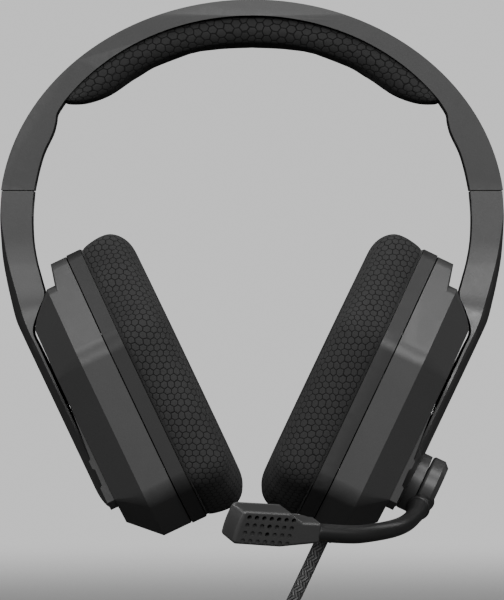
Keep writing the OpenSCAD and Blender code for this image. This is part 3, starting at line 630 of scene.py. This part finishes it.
def make_capsule():
    """Front half with a grid of dimples, two of them open holes."""
    levels = [(0.22, CAPSULE_LID), (0.0, CAPSULE_LID + 0.22), (0.0, -2.0)] + rim_levels(CAPSULE_FACE, 1, 1.15)
    piece = capsule_half("mic_capsule_shell", levels, 0)
    cut_out(piece, prism("capsule_room", CAPSULE_ROOM, CAPSULE_LID - 1, 1.6))
    verts, faces = [], []
    for row in range(4):
        for col in range(7):
            depth = 5 if col == 3 and row in (1, 2) else (2.0, 0.9, 0.55, 0.5)[row]
            x, z = 27.5 - 2.7 * col + 0.48 * row, 6.65 - 0.215 * col - 2.69 * row
            start = len(verts)
            for y in (CAPSULE_FACE - depth, CAPSULE_FACE + 1):
                for k in range(20):
                    a = 2 * math.pi * k / 20
                    verts.append(CAPSULE_PLACE @ Vector((x + 0.8 * math.cos(a), y, z + 0.8 * math.sin(a))))
            faces += [tuple(start + k for k in range(20)), tuple(start + 20 + k for k in range(19, -1, -1))]
            for k in range(20):
                j = (k + 1) % 20
                faces.append((start + k, start + j, start + 20 + j, start + 20 + k))
    holes = new_piece("capsule_dimples", verts, faces)
    turn_faces_out(holes)
    cut_out(piece, holes)
    return finish_capsule(piece, "mic_capsule_front")


capsule = make_capsule()
LID_LEVELS = [(0.22, CAPSULE_LID - 0.02), (0.0, CAPSULE_LID - 0.24)] + rim_levels(CAPSULE_LID - 1.6, -1, 0.9)
capsule_lid = finish_capsule(
    capsule_half("mic_capsule_lid", LID_LEVELS, 5.05),
    "mic_capsule_back",
)


# ---------------------------------------------------------------- materials

class Shader:
    """A node material, with short calls for its nodes."""

    def __init__(self, name):
        self.material = bpy.data.materials.new(name)
        self.material.use_nodes = True
        self.tree = self.material.node_tree
        self.bsdf = self.tree.nodes["Principled BSDF"]

    def node(self, kind, inputs=None, **settings):
        node = self.tree.nodes.new(kind)
        for key, value in settings.items():
            setattr(node, key, value)
        for key, value in (inputs or {}).items():
            self.put(node.inputs[key], value)
        return node

    def put(self, socket, value):
        if isinstance(value, bpy.types.NodeSocket):
            self.tree.links.new(value, socket)
        else:
            socket.default_value = value

    def math(self, operation, a, b=0.0, c=0.0):
        node = self.tree.nodes.new("ShaderNodeMath")
        node.operation = operation
        for socket, value in zip(node.inputs, (a, b, c)):
            self.put(socket, value)
        return node.outputs[0]

    def remap(self, value, low, high, to_low=0.0, to_high=1.0, kind="SMOOTHSTEP"):
        node = self.node("ShaderNodeMapRange", {0: value, 1: low, 2: high, 3: to_low, 4: to_high})
        node.interpolation_type = kind
        return node.outputs[0]

    def mix(self, factor, a, b):
        node = self.node("ShaderNodeMix", data_type="RGBA")
        self.put(node.inputs[0], factor)
        self.put(node.inputs[6], a)
        self.put(node.inputs[7], b)
        return node.outputs[2]

    def bump(self, height, distance, strength=1.0, normal=None):
        node = self.node("ShaderNodeBump", {"Height": height, "Distance": distance, "Strength": strength})
        if normal is not None:
            self.put(node.inputs["Normal"], normal)
        return node.outputs[0]

    def noise(self, scale, detail=2.0, rough=0.5):
        place = self.node("ShaderNodeTexCoord").outputs["Object"]
        settings = {"Vector": place, "Scale": scale, "Detail": detail, "Roughness": rough}
        return self.node("ShaderNodeTexNoise", settings).outputs[0]

    def neutral(self, tone):
        """A grey whose level changes over the surface."""
        return self.node("ShaderNodeCombineColor", {0: tone, 1: tone, 2: tone}).outputs[0]


def grey(level, warm=1.0):
    return (level * warm, level, level, 1)


def plastic(name, level, rough, grain=0.00006, mottle=0.1, shine=0.5, edge_highlight_and_wear=0.55):
    """Moulded plastic: fine spark-eroded grain, faint tone and gloss changes, and a painted highlight along
    the edges that also stands for polish from handling.
    """
    s = Shader(name)
    broad = s.noise(38, 3)
    fine = s.noise(2600, 2)
    tone = s.remap(broad, 0.3, 0.7, 1 - mottle, 1 + mottle, "LINEAR")
    speck = s.remap(fine, 0.35, 0.65, 0.93, 1.07, "LINEAR")
    # Painted edge highlight, partly standing for polish from handling: sharp edges found by pointiness
    # lighten the base colour
    edge = s.remap(s.node("ShaderNodeNewGeometry").outputs["Pointiness"], 0.52, 0.62)
    edge = s.math("MULTIPLY", edge, s.remap(s.noise(420, 3), 0.3, 0.6, 0.35, 1.0, "LINEAR"))
    both = s.math("MULTIPLY", s.math("MULTIPLY", tone, speck), level)
    both = s.math("MULTIPLY", both, s.math("ADD", 1.0, s.math("MULTIPLY", edge, edge_highlight_and_wear)))
    s.put(s.bsdf.inputs["Base Color"], s.neutral(both))
    gloss = s.remap(s.noise(160, 3), 0.3, 0.7, rough - 0.015, rough + 0.015, "LINEAR")
    s.put(s.bsdf.inputs["Roughness"], s.math("SUBTRACT", gloss, s.math("MULTIPLY", edge, 0.2 * edge_highlight_and_wear)))
    s.bsdf.inputs["Specular IOR Level"].default_value = shine
    s.put(s.bsdf.inputs["Normal"], s.bump(fine, grain, 0.22))
    return s.material


def metal(name, colour, rough, brushed=True):
    s = Shader(name)
    place = s.node("ShaderNodeTexCoord").outputs["Object"]
    stretch = (3000, 3000, 120) if brushed else (400, 400, 400)
    squeeze = s.node("ShaderNodeMapping", {"Vector": place, "Scale": stretch}).outputs[0]
    streaks = s.node("ShaderNodeTexNoise", {"Vector": squeeze, "Scale": 1.0, "Detail": 2.0}).outputs[0]
    shade = s.mix(streaks, tuple(c * 0.8 for c in colour) + (1,), tuple(colour) + (1,))
    s.put(s.bsdf.inputs["Base Color"], shade)
    s.bsdf.inputs["Metallic"].default_value = 1
    s.put(s.bsdf.inputs["Roughness"], s.remap(streaks, 0.3, 0.7, rough - 0.06, rough + 0.06, "LINEAR"))
    s.put(s.bsdf.inputs["Normal"], s.bump(streaks, 0.00001, 0.3))
    return s.material


def hex_edge(s, x, y, pitch):
    """Distance to the nearest edge of a hexagon grid, 0 on an edge and 0.5 in the middle of a cell."""
    root3 = math.sqrt(3)
    px, py = s.math("DIVIDE", x, pitch), s.math("DIVIDE", y, pitch)

    def cell(shift_x, shift_y):
        a = s.math("SUBTRACT", s.math("FLOORED_MODULO", s.math("ADD", px, shift_x), root3), root3 / 2)
        b = s.math("SUBTRACT", s.math("FLOORED_MODULO", s.math("ADD", py, shift_y), 1.0), 0.5)
        return s.math("ABSOLUTE", a), s.math("ABSOLUTE", b)

    def reach(a, b):
        slanted = s.math("ADD", s.math("MULTIPLY", b, 0.5), s.math("MULTIPLY", a, root3 / 2))
        return s.math("MAXIMUM", b, slanted)

    first = reach(*cell(0.0, 0.0))
    second = reach(*cell(root3 / 2, 0.5))
    return s.math("SUBTRACT", 0.5, s.math("MINIMUM", first, second))


def hex_fabric(name, level, groove_shade, pitch, knit=0.42):
    """Knitted mesh with hexagons pressed into it. UVs are in millimetres."""
    s = Shader(name)
    uv = s.node("ShaderNodeSeparateXYZ", {"Vector": s.node("ShaderNodeUVMap").outputs[0]})
    x, y = uv.outputs[0], uv.outputs[1]
    wobble = s.math("MULTIPLY", s.math("SUBTRACT", s.noise(900, 1), 0.5), 0.22)
    drift = s.math("MULTIPLY", s.math("SUBTRACT", s.noise(130, 2), 0.5), 2.6)
    wx = s.math("ADD", x, s.math("ADD", wobble, drift))
    wy = s.math("SUBTRACT", y, s.math("SUBTRACT", wobble, drift))
    edge = hex_edge(s, wx, wy, pitch)
    on_cell = s.remap(edge, 0.035, 0.09)
    dome = s.remap(edge, 0.03, 0.2)
    waves_x = s.math("SINE", s.math("MULTIPLY", x, 2 * math.pi / knit))
    waves_y = s.math("SINE", s.math("MULTIPLY", y, 2 * math.pi / (knit * 0.8)))
    loops = s.math("ADD", s.math("MULTIPLY", s.math("MULTIPLY", waves_x, waves_y), 0.5), 0.5)
    fuzz = s.noise(4200, 2)
    weave = s.remap(loops, 0, 1, 0.6, 1.22, "LINEAR")
    tone = s.math("MULTIPLY", weave, s.remap(fuzz, 0.3, 0.7, 0.84, 1.16, "LINEAR"))
    tone = s.math("MULTIPLY", tone, s.remap(s.noise(60, 3), 0.3, 0.7, 0.9, 1.1, "LINEAR"))
    thread = s.math("MULTIPLY", tone, level)
    # Painted shade: the pressed grooves between the hexagons are coloured much darker than the threads
    shade = s.mix(on_cell, grey(groove_shade), s.neutral(thread))
    s.put(s.bsdf.inputs["Base Color"], shade)
    s.bsdf.inputs["Roughness"].default_value = 0.92
    s.bsdf.inputs["Sheen Weight"].default_value = 0.04
    s.bsdf.inputs["Sheen Roughness"].default_value = 0.5
    s.bsdf.inputs["Specular IOR Level"].default_value = 0.2
    low = s.bump(s.math("ADD", on_cell, s.math("MULTIPLY", dome, 0.3)), 0.00009, 0.8)
    s.put(s.bsdf.inputs["Normal"], s.bump(s.math("ADD", loops, fuzz), 0.00006, 0.6, low))
    return s.material


def braid(name, dark, light):
    """Textile braid: two crossing families of strands. UVs are millimetres around and along the cord."""
    s = Shader(name)
    uv = s.node("ShaderNodeSeparateXYZ", {"Vector": s.node("ShaderNodeUVMap").outputs[0]})
    round_trip = math.pi * CORD_D
    around = s.math("MULTIPLY", uv.outputs[0], 10 / round_trip)
    along = s.math("MULTIPLY", uv.outputs[1], 1 / 1.9)
    a, b = s.math("ADD", along, around), s.math("SUBTRACT", along, around)

    def strand(v):
        return s.math("ABSOLUTE", s.math("SINE", s.math("MULTIPLY", v, math.pi)))

    square = s.math("ADD", s.math("FLOOR", a), s.math("FLOOR", b))
    over = s.math("GREATER_THAN", s.math("SINE", s.math("MULTIPLY", square, math.pi / 2)), 0.0)
    under = s.math("SUBTRACT", 1.0, over)

    def on_top(first, second):
        """The value of whichever strand lies on top here."""
        return s.math("ADD", s.math("MULTIPLY", over, first), s.math("MULTIPLY", under, second))

    height = on_top(strand(a), strand(b))
    threads_per_strand = 4
    lines = s.math("SINE", s.math("MULTIPLY", on_top(a, b), 2 * math.pi * threads_per_strand))
    height = s.math("ADD", height, s.math("MULTIPLY", lines, 0.08))
    # Painted highlight and shade: the crowns of the strands are coloured light and the gaps between them dark
    tone = s.remap(height, 0.1, 0.95)
    s.put(s.bsdf.inputs["Base Color"], s.mix(tone, grey(dark), grey(light)))
    s.bsdf.inputs["Roughness"].default_value = 0.4
    s.bsdf.inputs["Sheen Weight"].default_value = 0.05
    s.put(s.bsdf.inputs["Normal"], s.bump(height, 0.0004, 1.0))
    return s.material


def rubber(name, level, rough):
    s = Shader(name)
    fine = s.noise(1800, 2)
    tone = s.math("MULTIPLY", s.remap(s.noise(50, 3), 0.3, 0.7, 0.88, 1.12, "LINEAR"), level)
    s.put(s.bsdf.inputs["Base Color"], s.neutral(tone))
    s.put(s.bsdf.inputs["Roughness"], s.remap(fine, 0.3, 0.7, rough - 0.04, rough + 0.06, "LINEAR"))
    s.bsdf.inputs["Specular IOR Level"].default_value = 0.4
    s.put(s.bsdf.inputs["Normal"], s.bump(fine, 0.00003, 0.35))
    return s.material


def cloth(name, level, pitch=0.5):
    """Plain woven cloth in object space."""
    s = Shader(name)
    place = s.node("ShaderNodeSeparateXYZ", {"Vector": s.node("ShaderNodeTexCoord").outputs["Object"]})
    k = 2 * math.pi / (pitch * MM)
    warp, weft = (s.math("SINE", s.math("MULTIPLY", place.outputs[i], k)) for i in (1, 2))
    wave = s.math("MULTIPLY", warp, weft)
    tone = s.math("MULTIPLY", s.remap(wave, -1, 1, 0.6, 1.3, "LINEAR"), level)
    s.put(s.bsdf.inputs["Base Color"], s.neutral(tone))
    s.bsdf.inputs["Roughness"].default_value = 0.95
    s.bsdf.inputs["Sheen Weight"].default_value = 0.2
    s.put(s.bsdf.inputs["Normal"], s.bump(wave, 0.00008, 0.6))
    return s.material


MATERIALS = {
    "shell_plastic": plastic("shell_plastic", 0.050, 0.40, mottle=0.03),
    "cup_plastic": plastic("cup_plastic", 0.050, 0.36, mottle=0.02, shine=0.36, edge_highlight_and_wear=0.0),
    "arm_plastic": plastic("arm_plastic", 0.046, 0.38, mottle=0.03),
    "dark_plastic": plastic("dark_plastic", 0.012, 0.42, mottle=0.06),
    "ring_plastic": plastic("ring_plastic", 0.026, 0.42, mottle=0.05, shine=0.22),
    "trim_plastic": plastic("trim_plastic", 0.05, 0.3, mottle=0.06),
    "pad_fabric": hex_fabric("pad_fabric", 0.027, 0.004, 2.8),
    "cushion_fabric": hex_fabric("cushion_fabric", 0.036, 0.006, HEX_PITCH),
    "ear_cloth": cloth("ear_cloth", 0.008),
    "steel": metal("steel", (0.5, 0.5, 0.5), 0.32),
    "screw_steel": metal("screw_steel", (0.36, 0.36, 0.36), 0.36, False),
    "magnet_steel": metal("magnet_steel", (0.55, 0.55, 0.55), 0.25, False),
    "diaphragm_film": plastic("diaphragm_film", 0.3, 0.25),
    "board": plastic("board", 0.06, 0.35),
    "pot_plastic": plastic("pot_plastic", 0.05, 0.4),
    "boom_rubber": rubber("boom_rubber", 0.016, 0.36),
    "capsule_plastic": plastic("capsule_plastic", 0.044, 0.36, mottle=0.05),
    "mic_metal": metal("mic_metal", (0.05, 0.05, 0.05), 0.6, False),
    "relief_rubber": rubber("relief_rubber", 0.018, 0.5),
    "cord_braid": braid("cord_braid", 0.010, 0.14),
    "tie_fabric": cloth("tie_fabric", 0.012, 0.8),
    "plug_plastic": plastic("plug_plastic", 0.022, 0.38),
    "jack_metal": metal("jack_metal", (0.85, 0.66, 0.34), 0.2, False),
}


def dress(obj, slot):
    obj.data.materials.clear()
    obj.data.materials.append(MATERIALS[slot])


SLOT_OF = {row["node"]: row["material_slot"] for row in frame["record"]["subparts"]}
for node, obj in NODES.items():
    if not obj.data.materials:
        obj.data.materials.append(MATERIALS[SLOT_OF[node]])
    obj.material_slots[0].link = "OBJECT"
    obj.material_slots[0].material = MATERIALS[SLOT_OF[node]]
dress(cord, "cord_braid")
dress(jack_pin, "jack_metal")
dress(jack_bands, "plug_plastic")
dress(pad, "pad_fabric")
dress(boom, "boom_rubber")
dress(capsule, "capsule_plastic")
dress(capsule_lid, "capsule_plastic")
for piece in cushions + stitches:
    dress(piece, "cushion_fabric")
for piece in welts:
    dress(piece, "ear_cloth")


# ---------------------------------------------------------------- edges of the moulded pieces

def soften(node, width, segments=3, angle=32):
    """Rounds the sharp edges of a moulded piece and smooths its curved faces."""
    obj = NODES[node]
    joined = obj.modifiers.new("join_faces", "WELD")
    joined.merge_threshold = 0.005 * MM
    if segments <= 3:
        flat = obj.modifiers.new("merge_flat", "DECIMATE")
        flat.decimate_type, flat.angle_limit = "DISSOLVE", math.radians(0.6)
    bevel = obj.modifiers.new("edge_round", "BEVEL")
    bevel.width, bevel.segments = width * MM, segments
    bevel.limit_method, bevel.angle_limit = "ANGLE", math.radians(angle)
    bevel.harden_normals = False
    bevel.use_clamp_overlap = True
    if segments > 3:
        crisp = obj.modifiers.new("crisp_facets", "EDGE_SPLIT")
        crisp.split_angle = math.radians(angle)
    even = obj.modifiers.new("even_normals", "WEIGHTED_NORMAL")
    even.keep_sharp = True
    for poly in obj.data.polygons:
        poly.use_smooth = True


EDGES = {
    "headband_shell": 0.45, "left_end_cover": 0.25, "right_end_cover": 0.25,
    "mic_hub_base": 0.3, "mic_hub_cap": 0.3, "plug_body": 0.3, "cord_tie": 0.3,
    "volume_wheel": 0.12, "strain_relief": 0.3,
}
for side_name in SIDE_NAME.values():
    EDGES[side_name + "_arm_plate"] = 0.2
    EDGES[side_name + "_arm_cover"] = 0.4
    EDGES[side_name + "_cup_housing"] = 0.35
    EDGES[side_name + "_cup_trim"] = 0.25
    EDGES[side_name + "_cup_ring"] = 0.3
FACET_SEGMENTS, FACET_ANGLE = 6, 16
for node, width in EDGES.items():
    if "cup_" in node:
        soften(node, width, FACET_SEGMENTS, FACET_ANGLE)
    else:
        soften(node, width)


# ---------------------------------------------------------------- stage

# The floor and the surroundings look pale, and light the headset only as much as darker ones would
FLOOR_SEEN, FLOOR_BOUNCE = 0.6, 0.05
WORLD_SEEN, WORLD_LIGHT = 0.80, 0.028


def make_stage():
    size = 2.4
    corners = [(-size, -size, 0), (size, -size, 0), (size, size, 0), (-size, size, 0)]
    floor = new_piece("floor", corners, [(0, 1, 2, 3)], scale=1)
    floor.location.z = FLOOR_Z * MM
    s = Shader("floor_paint")
    direct = s.node("ShaderNodeLightPath").outputs["Is Camera Ray"]
    s.put(s.bsdf.inputs["Base Color"], s.mix(direct, grey(FLOOR_BOUNCE), grey(FLOOR_SEEN)))
    s.bsdf.inputs["Roughness"].default_value = 0.9
    place = s.node("ShaderNodeTexCoord").outputs["Object"]
    reach = s.node("ShaderNodeVectorMath", {0: place}, operation="LENGTH").outputs["Value"]
    clear = s.node("ShaderNodeBsdfTransparent").outputs[0]
    blend = s.node("ShaderNodeMixShader", {0: s.remap(reach, 0.9, 2.2), 1: s.bsdf.outputs[0], 2: clear})
    s.put(s.tree.nodes["Material Output"].inputs[0], blend.outputs[0])
    floor.data.materials.append(s.material)
    world = bpy.data.worlds.new("studio")
    world.use_nodes = True
    tree = world.node_tree
    seen, around = tree.nodes["Background"], tree.nodes.new("ShaderNodeBackground")
    seen.inputs[0].default_value = grey(WORLD_SEEN)
    around.inputs[0].default_value = grey(WORLD_LIGHT)
    ray, pick = tree.nodes.new("ShaderNodeLightPath"), tree.nodes.new("ShaderNodeMixShader")
    tree.links.new(ray.outputs["Is Camera Ray"], pick.inputs[0])
    tree.links.new(around.outputs[0], pick.inputs[1])
    tree.links.new(seen.outputs[0], pick.inputs[2])
    tree.links.new(pick.outputs[0], tree.nodes["World Output"].inputs[0])
    bpy.context.scene.world = world


def soft_light(name, place, target, width, height, power):
    light = bpy.data.lights.new(name, "AREA")
    light.shape, light.size, light.size_y, light.energy = "RECTANGLE", width, height, power
    obj = bpy.data.objects.new(name, light)
    bpy.context.scene.collection.objects.link(obj)
    obj.location = place
    obj.rotation_euler = (Vector(target) - Vector(place)).to_track_quat("-Z", "Y").to_euler()


# Name: (place in metres, height aimed at, width, height, watts)
LIGHTS = {
    "key_right": ((0.6, -0.62, 1.0), -0.08, 0.6, 0.45, 6.5),
    "key_left": ((-0.6, -0.62, 1.0), -0.08, 0.5, 0.4, 4.8),
    "front_box": ((0.1, -1.75, 0.75), -0.1, 0.7, 0.9, 27),
    "side_left": ((-1.5, -1.1, 0.7), -0.1, 0.3, 0.6, 9),
    "side_right": ((1.5, -1.1, 0.7), -0.1, 0.3, 0.6, 7),
    "rim_left": ((-1.2, 0.9, 0.9), -0.08, 0.2, 0.8, 2.5),
    "rim_right": ((1.2, 0.9, 0.9), -0.08, 0.2, 0.8, 2.5),
}

make_stage()
for name, (place, aim, width, height, watts) in LIGHTS.items():
    soft_light(name, place, (0, 0, aim), width, height, watts)
